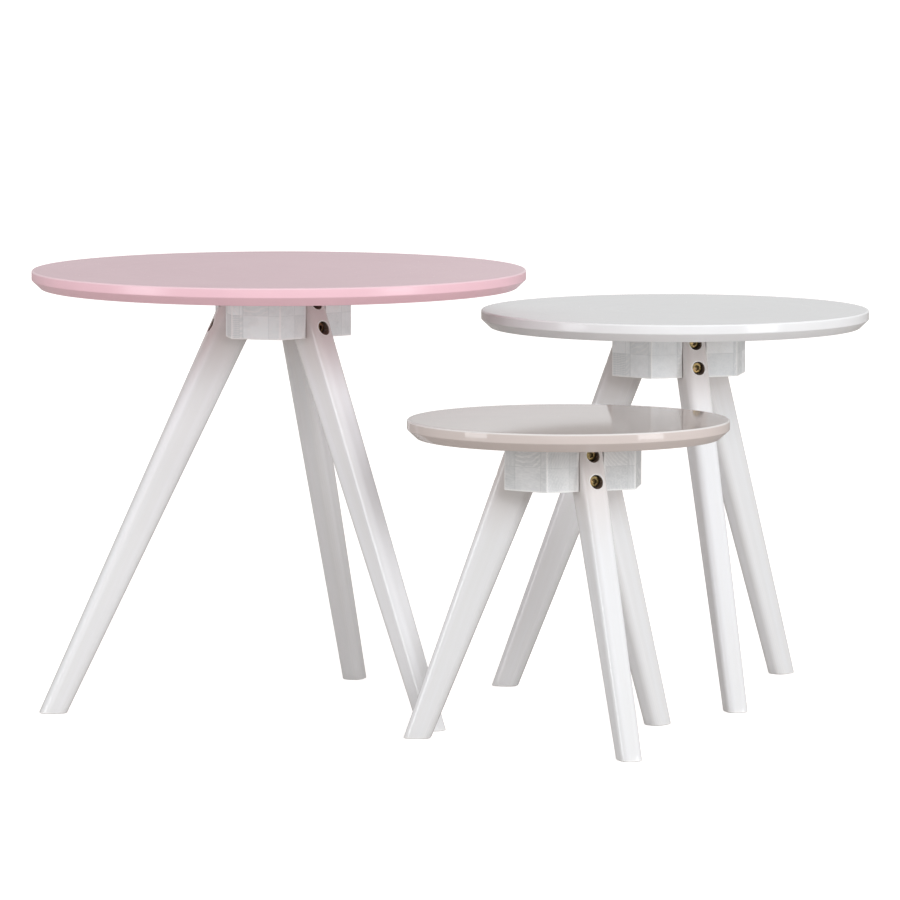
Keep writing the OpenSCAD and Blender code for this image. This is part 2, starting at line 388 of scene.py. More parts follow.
# %% Build a leg
def make_leg(name, side):
    """One leg: its slices, its flat ends and its two holes. Each point also keeps its place in the upright
    bar, and whether it lies in a hole."""
    t = table[name]
    grid, hole_rows = leg_grid(t)
    rows, columns = grid.shape[:2]
    flat = grid.reshape(-1, 3)
    quads = grid_faces(rows, columns)
    row, column = quads[:, 0] // columns, quads[:, 0] % columns
    keep = np.ones(len(quads), bool)
    for middle in hole_rows:
        keep &= (np.abs(row - middle + 0.5) > BLOCK) | (np.abs(column - REACH + 0.5) > BLOCK)
    last = (rows - 1) * columns
    ends = np.stack([grid[0].mean(0), grid[-1].mean(0)])
    vertices = [flat, ends]
    bored = [np.zeros(len(flat) + len(ends))]
    faces = [
        quads[keep],
        fan_faces(np.arange(columns), len(flat), down=True),
        fan_faces(np.arange(columns) + last, len(flat) + 1),
    ]
    total = len(flat) + 2
    k = np.arange(-BLOCK, BLOCK)
    for middle, height in zip(hole_rows, hole_heights(t)):
        # walk round the block that is left out: bottom, right, top, left
        walk_row = np.concatenate([0 * k - BLOCK, k, 0 * k + BLOCK, -k])
        walk_column = np.concatenate([k, 0 * k + BLOCK, -k, 0 * k - BLOCK])
        edge = (middle + walk_row) * columns + REACH + walk_column
        rings = hole_rings(t, flat[edge], height)
        count, around = rings.shape[:2]
        first = np.arange(around) + total
        deepest = total + (count - 1) * around
        vertices += [rings.reshape(-1, 3), rings[-1].mean(0)[None]]
        bored += [np.repeat(np.arange(count) >= LIP_STEPS, around).astype(float), np.ones(1)]
        faces += [
            np.stack([edge, np.roll(edge, -1), np.roll(first, -1), first], -1),
            grid_faces(count, around, total),
            fan_faces(np.arange(around) + deepest, total + count * around),
        ]
        total += count * around + 1
    local = np.concatenate(vertices)
    placed = place(local, t["axis"], leg_turn(t, side))
    obj = make_object(f"{name}_{side}_leg_lacquered", placed, faces, sharp_angle=50)
    upright = local - np.stack([axis_r(t, local[:, 2]), 0 * local[:, 0], 0 * local[:, 0]], -1)
    # each leg starts a metre further up the bar, so that no two legs of a table share their grain
    layer = obj.data.attributes.new("bar", "FLOAT_VECTOR", "POINT")
    layer.data.foreach_set("vector", (upright + np.array([0, 0, SIDES.index(side)])).ravel())
    layer = obj.data.attributes.new("bored", "FLOAT", "POINT")
    layer.data.foreach_set("value", np.concatenate(bored))
    return belongs(obj, name + "_table", "white_lacquer", f"{name}_{side}_leg")


legs = [make_leg(name, side) for name in TABLES for side in SIDES]
print("legs", {obj.name: len(obj.data.polygons) for obj in legs[:3]})

# %% [markdown]
# ## Hub blocks
# A hub is a six-sided block glued up from short strips of wood, with a slot in each wide face for a leg.
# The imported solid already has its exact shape, so a copy of it is merged into clean flat faces. A small
# bevel then eases every edge, the way a sanding block does before the wash goes on.

# %% Make the hubs
HUB_EASE = 0.9 * MM
HUB_EDGE_ANGLE = math.radians(40)
WELD = 0.001 * MM
FLAT_ANGLE = math.radians(1)


def make_hub(name):
    """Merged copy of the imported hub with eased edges."""
    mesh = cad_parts[name + "_hub"].data.copy()
    mesh.materials.clear()
    bm = bmesh.new()
    bm.from_mesh(mesh)
    bmesh.ops.remove_doubles(bm, verts=bm.verts, dist=WELD)
    bmesh.ops.dissolve_limit(bm, angle_limit=FLAT_ANGLE, verts=bm.verts, edges=bm.edges)
    bm.to_mesh(mesh)
    bm.free()
    mesh.shade_smooth()
    mesh.set_sharp_from_angle(angle=HUB_EDGE_ANGLE)
    obj = bpy.data.objects.new(name + "_hub_block", mesh)
    bpy.context.scene.collection.objects.link(obj)
    ease = obj.modifiers.new("eased_edges", "BEVEL")
    ease.width = HUB_EASE
    ease.segments = 3
    ease.limit_method = "ANGLE"
    ease.angle_limit = HUB_EDGE_ANGLE
    ease.harden_normals = True
    return belongs(obj, name + "_table", "washed_wood", name + "_hub")


hubs = {name: make_hub(name) for name in TABLES}
print("hubs", {name: len(obj.data.polygons) for name, obj in hubs.items()})

# %% [markdown]
# ## Screws
# Two flat-headed screws hold each leg in its slot, and three more pull the hub up against the top. A screw
# is turned like a board, with two changes. Along the thread, the radius rises and falls with height and
# angle together, which winds the ridge into a helix. At the socket, the circle becomes a hexagon.

# %% Screw sizes
LEG_SCREW = {"d": 6.0 * MM, "head_d": 11.6 * MM, "head_h": 4.2 * MM}
TOP_SCREW = {"d": 5.0 * MM, "head_d": 10.0 * MM, "head_h": 4.2 * MM}
SCREW_TIP_R = 7.0 * MM
TOP_SCREW_R = 46.0 * MM
SOCKET_R = 2.9 * MM
SOCKET_DEPTH = 2.6 * MM
SOCKET_EASE = 0.25 * MM
SOCKET_RINGS = 4
HEAD_ROUND = 0.9 * MM
HEAD_UNDER_R = 0.3 * MM
THREAD_SHARE = 0.72
THREAD_PITCH = 2.5 * MM
THREAD_DEPTH = 0.55 * MM
THREAD_ROWS = 6
SCREW_SEGMENTS = 30


# %% Build screws
def hexagon(angle):
    """A hexagon's radius as a share of its corners': cos 30 / cos(angle from a flat side's middle)."""
    sixth = math.pi / 3
    return math.cos(sixth / 2) / np.cos((angle % sixth) - sixth / 2)


def screw_rows(size, length):
    """Screw standing on its tip: cone, thread, plain neck, rounded head, and a socket of hexagons."""
    r, head_r, head_h = size["d"] / 2, size["head_d"] / 2, size["head_h"]
    turns = int((length * THREAD_SHARE) / THREAD_PITCH)
    thread = np.arange(turns * THREAD_ROWS) * THREAD_PITCH / THREAD_ROWS + r
    top = length + head_h
    body = np.array([[0.15 * r, 0], [0.6 * r, 0.45 * r]])
    threaded = np.stack([0 * thread + r, thread], -1)
    neck = np.array([[r, thread[-1] + THREAD_PITCH], [r, length]])
    edge = rounded_corner([0, length], [head_r, length], [head_r, top], HEAD_UNDER_R, 3)
    crown = rounded_corner([head_r, length], [head_r, top], [0, top], HEAD_ROUND, 6)
    ease, deep = SOCKET_EASE, top - SOCKET_DEPTH
    rim = np.array([[SOCKET_R + 2 * ease, top], [SOCKET_R + ease, top], [SOCKET_R, top - ease]])
    floor = np.array([[SOCKET_R, deep], [0.4 * SOCKET_R, deep - 0.3 * MM]])
    profile = np.concatenate([body, threaded, neck, edge, crown, rim, floor])
    rows = lathe(profile, SCREW_SEGMENTS)
    angle = np.linspace(0, 2 * np.pi, SCREW_SEGMENTS, endpoint=False)
    wound = np.arange(len(body), len(body) + len(thread))
    phase = (profile[wound, 1:] / THREAD_PITCH - angle / (2 * np.pi)) % 1
    fade = np.clip(np.arange(len(wound)) / THREAD_ROWS, 0, 1)[:, None]
    rows[wound, :, :2] *= (1 - fade * THREAD_DEPTH / r * np.abs(2 * phase - 1))[..., None]
    rows[-SOCKET_RINGS:, :, :2] *= hexagon(angle)[:, None]
    return rows


def joined(parts):
    """Several closed pieces as one list of points and one list of faces."""
    starts = np.cumsum([0] + [len(v) for v, _ in parts])
    faces = [group + start for (_, groups), start in zip(parts, starts) for group in groups]
    return np.concatenate([v for v, _ in parts]), faces


def make_leg_screws(name, side):
    """The two screws of one leg, lying outwards from the table's axis."""
    t = table[name]
    parts = []
    for height in hole_heights(t):
        vertices, faces = closed_lathe(screw_rows(LEG_SCREW, seat_r(t, height) - SCREW_TIP_R))
        # the screw's own axis turns from upright to outwards: (x, y, z) becomes (z, y, -x)
        lying = np.stack([vertices[:, 2] + SCREW_TIP_R, vertices[:, 1], height - vertices[:, 0]], -1)
        parts.append((lying, faces))
    local, faces = joined(parts)
    placed = place(local, t["axis"], leg_turn(t, side))
    obj = make_object(f"{name}_{side}_leg_screws_zinc", placed, faces, sharp_angle=40)
    return belongs(obj, name + "_table", "yellow_zinc", f"{name}_{side}_leg_screws")


def make_top_screws(name):
    """The three upright screws between the slots, with their heads in the hub's underside."""
    t = table[name]
    low, high = corners(name + "_top_screws")
    parts = []
    for k in range(len(SIDES)):
        length = high[2] - low[2] - TOP_SCREW["head_h"]
        vertices, faces = closed_lathe(screw_rows(TOP_SCREW, length))
        # upside down without mirroring: y and z both change sign
        local = np.stack([vertices[:, 0] + TOP_SCREW_R, -vertices[:, 1], high[2] - vertices[:, 2]], -1)
        parts.append((place(local, (0, 0), t["turn"] + (k + 0.5) * SIDE_TURN), faces))
    local, faces = joined(parts)
    obj = make_object(name + "_top_screws_zinc", place(local, t["axis"]), faces, sharp_angle=40)
    return belongs(obj, name + "_table", "yellow_zinc", name + "_top_screws")


screws = [make_leg_screws(name, side) for name in TABLES for side in SIDES]
screws += [make_top_screws(name) for name in TABLES]
print("screws", len(screws), "pieces,", sum(len(obj.data.polygons) for obj in screws), "faces")

# %% [markdown]
# ## Building materials from nodes
# A finish is a small network of nodes. A few short helpers keep the network readable: one adds a node and
# fills its inputs, and the others do arithmetic, mix two colours, make noise or stretch a range. Effects
# that several finishes share become node groups, which are built once and placed with their own numbers.


# %% Node helpers
def add(tree, kind, inputs=None, **settings):
    """Add a node, set its options, and fill each input with a number or with a link from another socket."""
    node = tree.nodes.new(kind)
    for key, value in settings.items():
        setattr(node, key, value)
    for key, value in (inputs or {}).items():
        if isinstance(value, bpy.types.NodeSocket):
            tree.links.new(value, node.inputs[key])
        else:
            node.inputs[key].default_value = value
    return node


def calc(tree, operation, *values, clamp=False):
    """Result of one arithmetic node."""
    inputs = dict(enumerate(values))
    return add(tree, "ShaderNodeMath", inputs, operation=operation, use_clamp=clamp).outputs[0]


def vector(tree, operation, *values, scale=None):
    """Vector from one vector arithmetic node. Only SCALE has a scale."""
    inputs = dict(enumerate(values))
    if scale is not None:
        inputs["Scale"] = scale
    return add(tree, "ShaderNodeVectorMath", inputs, operation=operation).outputs["Vector"]


def measure(tree, operation, *values):
    """Number from one vector arithmetic node, such as a length or a dot product."""
    inputs = dict(enumerate(values))
    return add(tree, "ShaderNodeVectorMath", inputs, operation=operation).outputs["Value"]


def mix(tree, share, a, b, kind="MIX"):
    """Two colours mixed by a share. Inputs 6 and 7 of the node are its pair of colours."""
    inputs = {"Factor": share, 6: a, 7: b}
    return add(tree, "ShaderNodeMix", inputs, data_type="RGBA", blend_type=kind).outputs[2]


def noise(tree, where, scale, detail=2.0, rough=0.5):
    """Noise with a scale in cycles per metre."""
    inputs = {"Vector": where, "Scale": scale, "Detail": detail, "Roughness": rough}
    return add(tree, "ShaderNodeTexNoise", inputs).outputs["Fac"]


def wander(tree, where, scale, detail):
    """Noise that gives three numbers at once, each about a half, as a vector."""
    inputs = {"Vector": where, "Scale": scale, "Detail": detail}
    return add(tree, "ShaderNodeTexNoise", inputs).outputs["Color"]


def remap(tree, value, low, high, to_low=0.0, to_high=1.0, smooth=False):
    """A value's range stretched to another range and clamped there."""
    inputs = {0: value, 1: low, 2: high, 3: to_low, 4: to_high}
    kind = "SMOOTHSTEP" if smooth else "LINEAR"
    return add(tree, "ShaderNodeMapRange", inputs, interpolation_type=kind).outputs[0]


def scaled(tree, where, x, y, z):
    """Coordinates with each direction stretched by its own factor."""
    return vector(tree, "MULTIPLY", where, (x, y, z))


def new_group(name, inputs, outputs):
    """An empty node group with named inputs (kind and starting value) and named outputs."""
    tree = bpy.data.node_groups.new(name, "ShaderNodeTree")
    for label, (kind, value) in inputs.items():
        socket = tree.interface.new_socket(label, in_out="INPUT", socket_type="NodeSocket" + kind)
        if kind == "Float":
            socket.default_value = value
    for label, kind in outputs.items():
        tree.interface.new_socket(label, in_out="OUTPUT", socket_type="NodeSocket" + kind)
    return tree, tree.nodes.new("NodeGroupInput").outputs, tree.nodes.new("NodeGroupOutput").inputs


def use(tree, group, inputs):
    """Outputs of a node group placed in a material."""
    return add(tree, "ShaderNodeGroup", inputs, node_tree=group).outputs


# %% [markdown]
# ## Effects that several finishes share
# Sprayed lacquer dries with a very shallow, rounded ripple called orange peel, and hands and cloths leave
# cloudy patches of slightly different gloss. Dust settles as sparse specks. Along sharp edges a coat is
# thinner and is rubbed first, and a bevel probe finds those edges: it compares the true normal with one
# that is rounded over a small radius. The same edge mask also places painted highlights on edges.

# %% Shared node groups
HALF = (0.5, 0.5, 0.5)
# The dot product of the two normals where an edge begins to show, and where it shows in full
EDGE_STARTS = 0.998
EDGE_WHOLE = 0.97

lacquer_skin, s, out = new_group(
    "lacquer_skin",
    {"Place": ("Vector", None), "Peel": ("Float", 600.0), "Gloss": ("Float", 0.2), "Spread": ("Float", 0.05)},
    {"Height": "Float", "Roughness": "Float", "Cloud": "Float"},
)
peel = noise(lacquer_skin, s["Place"], s["Peel"], 1.5)
swell = noise(lacquer_skin, s["Place"], 70.0, 2.0)
cloud = noise(lacquer_skin, s["Place"], 14.0, 3.0, 0.6)
smear = noise(lacquer_skin, scaled(lacquer_skin, s["Place"], 1.0, 6.0, 1.0), 45.0, 3.0, 0.65)
height = calc(lacquer_skin, "ADD", peel, calc(lacquer_skin, "MULTIPLY", swell, 2.5))
patch = calc(lacquer_skin, "SUBTRACT", calc(lacquer_skin, "ADD", cloud, smear), 1.0)
lacquer_skin.links.new(height, out["Height"])
rough = calc(lacquer_skin, "MULTIPLY_ADD", patch, s["Spread"], s["Gloss"])
lacquer_skin.links.new(calc(lacquer_skin, "MAXIMUM", rough, 0.03), out["Roughness"])
lacquer_skin.links.new(cloud, out["Cloud"])

dust_specks, s, out = new_group(
    "dust_specks",
    {"Place": ("Vector", None), "Density": ("Float", 300.0), "Share": ("Float", 0.1)},
    {"Mask": "Float"},
)
cell = add(dust_specks, "ShaderNodeTexVoronoi", {"Vector": s["Place"], "Scale": s["Density"]})
picked = add(dust_specks, "ShaderNodeSeparateColor", {0: cell.outputs["Color"]}).outputs[0]
chosen = calc(dust_specks, "LESS_THAN", picked, s["Share"])
speck = remap(dust_specks, cell.outputs["Distance"], 0.05, 0.22, 1.0, 0.0, True)
dust_specks.links.new(calc(dust_specks, "MULTIPLY", speck, chosen), out["Mask"])

edge_wear, s, out = new_group(
    "edge_wear",
    {"Place": ("Vector", None), "Width": ("Float", 0.0012), "Patchiness": ("Float", 60.0)},
    {"Edge": "Float", "Worn": "Float"},
)
probe = add(edge_wear, "ShaderNodeBevel", {"Radius": s["Width"]}, samples=6)
true_normal = add(edge_wear, "ShaderNodeNewGeometry").outputs["True Normal"]
dot = measure(edge_wear, "DOT_PRODUCT", probe.outputs[0], true_normal)
edge = remap(edge_wear, dot, EDGE_STARTS, EDGE_WHOLE)
gaps = remap(edge_wear, noise(edge_wear, s["Place"], s["Patchiness"], 4.0, 0.65), 0.42, 0.62)
# Edge is also used for painted highlights along the edges of legs and hubs; Worn is real wear
edge_wear.links.new(edge, out["Edge"])
edge_wear.links.new(calc(edge_wear, "MULTIPLY", edge, gaps), out["Worn"])

long_grain, s, out = new_group(
    "long_grain",
    {"Place": ("Vector", None), "Fineness": ("Float", 500.0), "Waviness": ("Float", 0.002)},
    {"Grain": "Float", "Streak": "Float"},
)
bend = vector(long_grain, "SUBTRACT", wander(long_grain, s["Place"], 9.0, 2.0), HALF)
bend = vector(long_grain, "SCALE", bend, scale=s["Waviness"])
bent = vector(long_grain, "ADD", s["Place"], bend)
along = scaled(long_grain, bent, 1.0, 1.0, 0.04)
long_grain.links.new(noise(long_grain, along, s["Fineness"], 4.0, 0.6), out["Grain"])
broad = scaled(long_grain, bent, 0.25, 0.25, 0.006)
long_grain.links.new(noise(long_grain, broad, s["Fineness"], 3.0, 0.5), out["Streak"])
print("shared groups", [g.name for g in bpy.data.node_groups])

# %% [markdown]
# ## From a network to a piece
# Each material starts from the Principled shader, which covers both lacquer and metal. A pattern needs to
# know where it is on its table, so object coordinates are moved to the table's axis and turned with its
# legs. The finished colour, roughness and normal are then wired to the shader, and the material is put on
# its piece.


# %% Material helpers
def new_material(name):
    """A material with a Principled shader; returns the material, its tree and the shader."""
    material = bpy.data.materials.new(name)
    material.use_nodes = True
    return material, material.node_tree, material.node_tree.nodes["Principled BSDF"]


def own_place(tree, axis, turn=0.0):
    """Object coordinates, centred on a table's axis and turned with its legs."""
    where = add(tree, "ShaderNodeTexCoord").outputs["Object"]
    inputs = {"Vector": where, "Location": (axis[0], axis[1], 0.0), "Rotation": (0.0, 0.0, turn)}
    return add(tree, "ShaderNodeMapping", inputs, vector_type="TEXTURE").outputs[0]


def wire(tree, shader, **links):
    """Connect sockets to the Principled shader, with spaces for underscores in its input names."""
    for key, socket in links.items():
        tree.links.new(socket, shader.inputs[key.replace("_", " ")])


def bump(tree, height, distance, strength=1.0):
    """Normal from a height that is multiplied by a distance in metres."""
    inputs = {"Height": height, "Distance": distance, "Strength": strength}
    return add(tree, "ShaderNodeBump", inputs).outputs[0]


def dress(obj, material):
    """Give a piece one material."""
    obj.data.materials.clear()
    obj.data.materials.append(material)


# %% [markdown]
# ## Lacquered tops
# The tops are sprayed in three colours: rose, white and a warm stone grey. The coat is glossy enough to
# mirror the table that stands behind it at a low angle. The colour drifts by a few hundredths, the wiping
# cloth leaves faint rings of duller gloss, and the rounded upper rim is made paler, as a painted
# highlight along the rim.

# %% Top lacquers
ROSE = (0.88, 0.565, 0.63, 1)
WHITE = (0.83, 0.83, 0.835, 1)
STONE = (0.665, 0.585, 0.55, 1)
TOP_DUST = (0.8, 0.79, 0.77, 1)
TOP_RELIEF = 0.004 * MM
DEEPER = 0.955
# The painted rim highlight fades in between two distances from the band, and between two depths below the
# face
RIM_HIGHLIGHT_SPAN = (2.4 * MM, 1.0 * MM)
RIM_HIGHLIGHT_DEPTH = (1.8 * MM, 0.8 * MM)


def top_lacquer(name, colour, gloss, rim_highlight):
    """Sprayed coat with orange peel, cloudy gloss, wiping rings, dust specks and a painted highlight along
    the rim.
    """
    material, tree, shader = new_material(name + "_top_lacquer")
    where = own_place(tree, table[name]["axis"])
    skin = use(tree, lacquer_skin, {"Place": where, "Peel": 520.0, "Gloss": gloss, "Spread": 0.2 * gloss})
    dust = use(tree, dust_specks, {"Place": where, "Density": 420.0, "Share": 0.012})["Mask"]
    up = add(tree, "ShaderNodeSeparateXYZ", {0: where}).outputs[2]
    radial = measure(tree, "LENGTH", scaled(tree, where, 1, 1, 0))
    ring_place = add(tree, "ShaderNodeCombineXYZ", {"X": radial}).outputs[0]
    wiped = remap(tree, noise(tree, ring_place, 130.0, 4.0, 0.7), 0.45, 0.75, 0.0, 0.012)
    deep = tuple(c * DEEPER for c in colour[:3]) + (1,)
    # painted highlight: the rim's colour is lifted towards white
    pale = tuple(c + (1 - c) * rim_highlight for c in colour[:3]) + (1,)
    t = table[name]
    outer = remap(tree, radial, *(t["radius"] - span for span in RIM_HIGHLIGHT_SPAN))
    upper = remap(tree, up, *(t["top_z"] - depth for depth in RIM_HIGHLIGHT_DEPTH))
    # mask of the painted highlight along the rounded upper rim
    rim = calc(tree, "MULTIPLY", outer, upper)
    base = mix(tree, remap(tree, skin["Cloud"], 0.3, 0.7), colour, deep)
    base = mix(tree, rim, base, pale)
    base = mix(tree, calc(tree, "MULTIPLY", dust, 0.12), base, TOP_DUST)
    rough = calc(tree, "ADD", skin["Roughness"], wiped)
    rough = calc(tree, "ADD", rough, calc(tree, "MULTIPLY", dust, 0.15))
    height = calc(tree, "MULTIPLY_ADD", dust, 4.0, skin["Height"])
    wire(tree, shader, Base_Color=base, Roughness=rough, Normal=bump(tree, height, TOP_RELIEF))
    shader.inputs["IOR"].default_value = 1.45
    shader.inputs["Specular IOR Level"].default_value = 0.4
    return material


dress(tops["large"], top_lacquer("large", ROSE, 0.24, 0.2))
dress(tops["medium"], top_lacquer("medium", WHITE, 0.15, 0.6))
dress(tops["small"], top_lacquer("small", STONE, 0.06, 0.5))
print("tops dressed")

# %% [markdown]
# ## Lacquered legs
# The legs are solid wood under an opaque white coat. The coat fills the pores but follows the long grain a
# little, so a faint streak runs up each leg. The pattern reads the bar attribute, which is each point's
# place in an upright bar, and so the grain leans with the leg. The bored attribute marks the walls of the
# screw holes, where the wood was drilled after spraying and is still bare; they are coloured far darker than
# bare wood, as painted shade in the deep holes. Near the hub the white is darkened and warmed, as painted
# shade and pink bounce light under the top, near the floor it is a little darker, as painted shade, and
# the edges carry a painted highlight.


# %% Leg lacquer
COAT = (0.84, 0.845, 0.86, 1)
COAT_STREAK = (0.80, 0.80, 0.80, 1)
COAT_GRAIN = (0.77, 0.755, 0.73, 1)
COAT_SHADED_LOW = (0.72, 0.715, 0.71, 1)
# Painted shade near the floor: the white turns greyer towards the feet
COAT_WORN = (0.78, 0.74, 0.68, 1)
# Painted highlight along the legs' edges and the lips of the screw holes
COAT_EDGE_HIGHLIGHT = (0.93, 0.92, 0.90, 1)
# Painted shade and pink bounce light under each top: the legs' white darkens and warms near the hub, pinkest
# under the rose top
SHADE_UNDER_TOP_COLOUR = {
    "large": (0.64, 0.54, 0.515, 1),
    "medium": (0.70, 0.62, 0.59, 1),
    "small": (0.76, 0.69, 0.66, 1),
}
LEG_DUST = (0.72, 0.70, 0.67, 1)
# Bare wood in the bores, partly its real colour and partly painted shade: far darker than bare wood, for the
# deep holes
BARE_WOOD_SHADED_DARK = (0.13, 0.085, 0.06, 1)
BARE_WOOD_SHADED_PALE = (0.27, 0.19, 0.14, 1)
LEG_RELIEF = 0.006 * MM
# Heights from the hub's underside between which the painted shade under the top fades in, and the height that
# the painted shade near the floor reaches
SHADE_UNDER_TOP_FROM, SHADE_UNDER_TOP_TO = -60 * MM, 20 * MM
LOW_SHADE_HEIGHT = 250 * MM


def leg_lacquer(name):
    """White coat over long grain, with orange peel, a little wear, painted shade under the top and near the
    floor, and painted highlights on the edges. The bores are bare wood, darkened further as painted shade.
    """
    material, tree, shader = new_material(name + "_white_lacquer")
    where = add(tree, "ShaderNodeAttribute", attribute_name="bar").outputs["Vector"]
    skin = use(tree, lacquer_skin, {"Place": where, "Peel": 480.0, "Gloss": 0.15, "Spread": 0.06})
    grain = use(tree, long_grain, {"Place": where, "Fineness": 420.0, "Waviness": 2.5 * MM})
    edge = use(tree, edge_wear, {"Place": where, "Width": 2.2 * MM, "Patchiness": 90.0})
    dust = use(tree, dust_specks, {"Place": where, "Density": 320.0, "Share": 0.05})["Mask"]
    base = mix(tree, remap(tree, grain["Streak"], 0.35, 0.65), COAT, COAT_STREAK)
    up = add(tree, "ShaderNodeSeparateXYZ", {0: add(tree, "ShaderNodeTexCoord").outputs["Object"]}).outputs[2]
    hub_z = table[name]["hub_z"]
    # painted shade and pink bounce light under the top, fading in towards the hub
    shade_under_top = remap(tree, up, hub_z + SHADE_UNDER_TOP_FROM, hub_z + SHADE_UNDER_TOP_TO, 0.0, 0.6, True)
    base = mix(tree, shade_under_top, base, SHADE_UNDER_TOP_COLOUR[name])
    # painted shade: the white is darker towards the floor and fades out higher up
    darker_below = remap(tree, up, 0.0, LOW_SHADE_HEIGHT, 0.35, 0.0)
    base = mix(tree, darker_below, base, COAT_SHADED_LOW)
    base = mix(tree, remap(tree, grain["Grain"], 0.55, 0.8, 0.0, 0.35), base, COAT_GRAIN)
    base = mix(tree, calc(tree, "MULTIPLY", edge["Worn"], 0.45), base, COAT_WORN)
    base = mix(tree, calc(tree, "MULTIPLY", dust, 0.2), base, LEG_DUST)
    bored = add(tree, "ShaderNodeAttribute", attribute_name="bored").outputs["Fac"]
    chewed = remap(tree, noise(tree, where, 900.0, 3.0, 0.6), 0.35, 0.65)
    # the bore walls: bare wood darkened by painted shade
    bare_and_shaded = mix(tree, chewed, BARE_WOOD_SHADED_DARK, BARE_WOOD_SHADED_PALE)
    base = mix(tree, bored, base, bare_and_shaded)
    # painted highlight on the leg's edges and the lips of the holes
    base = mix(tree, calc(tree, "MULTIPLY", edge["Edge"], 0.9), base, COAT_EDGE_HIGHLIGHT)
    rough = calc(tree, "MULTIPLY_ADD", grain["Grain"], 0.06, skin["Roughness"])
    rough = calc(tree, "MULTIPLY_ADD", bored, 0.5, rough)
    height = calc(tree, "MULTIPLY_ADD", grain["Grain"], 5.0, skin["Height"])
    wire(tree, shader, Base_Color=base, Roughness=rough, Normal=bump(tree, height, LEG_RELIEF))
    return material


white_lacquer = {name: leg_lacquer(name) for name in TABLES}
for obj in legs:
    dress(obj, white_lacquer[obj.name.split("_")[0]])
print("legs dressed")

# %% [markdown]
# ## Washed wood
# A hub is glued up from short strips, and each strip shows its own cut: curved year rings where the end
# grain meets the face, and fine streaks where the long grain does. A watery white wash covers it thinly.
# The pattern divides space into bricks. Each brick draws its own tone, its own ring centre and its own kind
# of grain.

# %% Washed wood
STRIP = (27.0 * MM, 31.0 * MM, 24.0 * MM)
WASH = (0.84, 0.86, 0.865, 1)
WASH_DEEP = (0.58, 0.605, 0.61, 1)
WASH_PALE = (0.98, 0.98, 0.97, 1)
RING_PITCH = 2.3 * MM
RING_WOBBLE = 4.0 * MM
RING_CENTRES = 120 * MM
WOOD_RELIEF = 0.09 * MM
# A brick's middle is at 0 and its wall at 0.5: the glue line fades in between these two places
GLUE_STARTS = 0.482
GLUE_WHOLE = 0.495


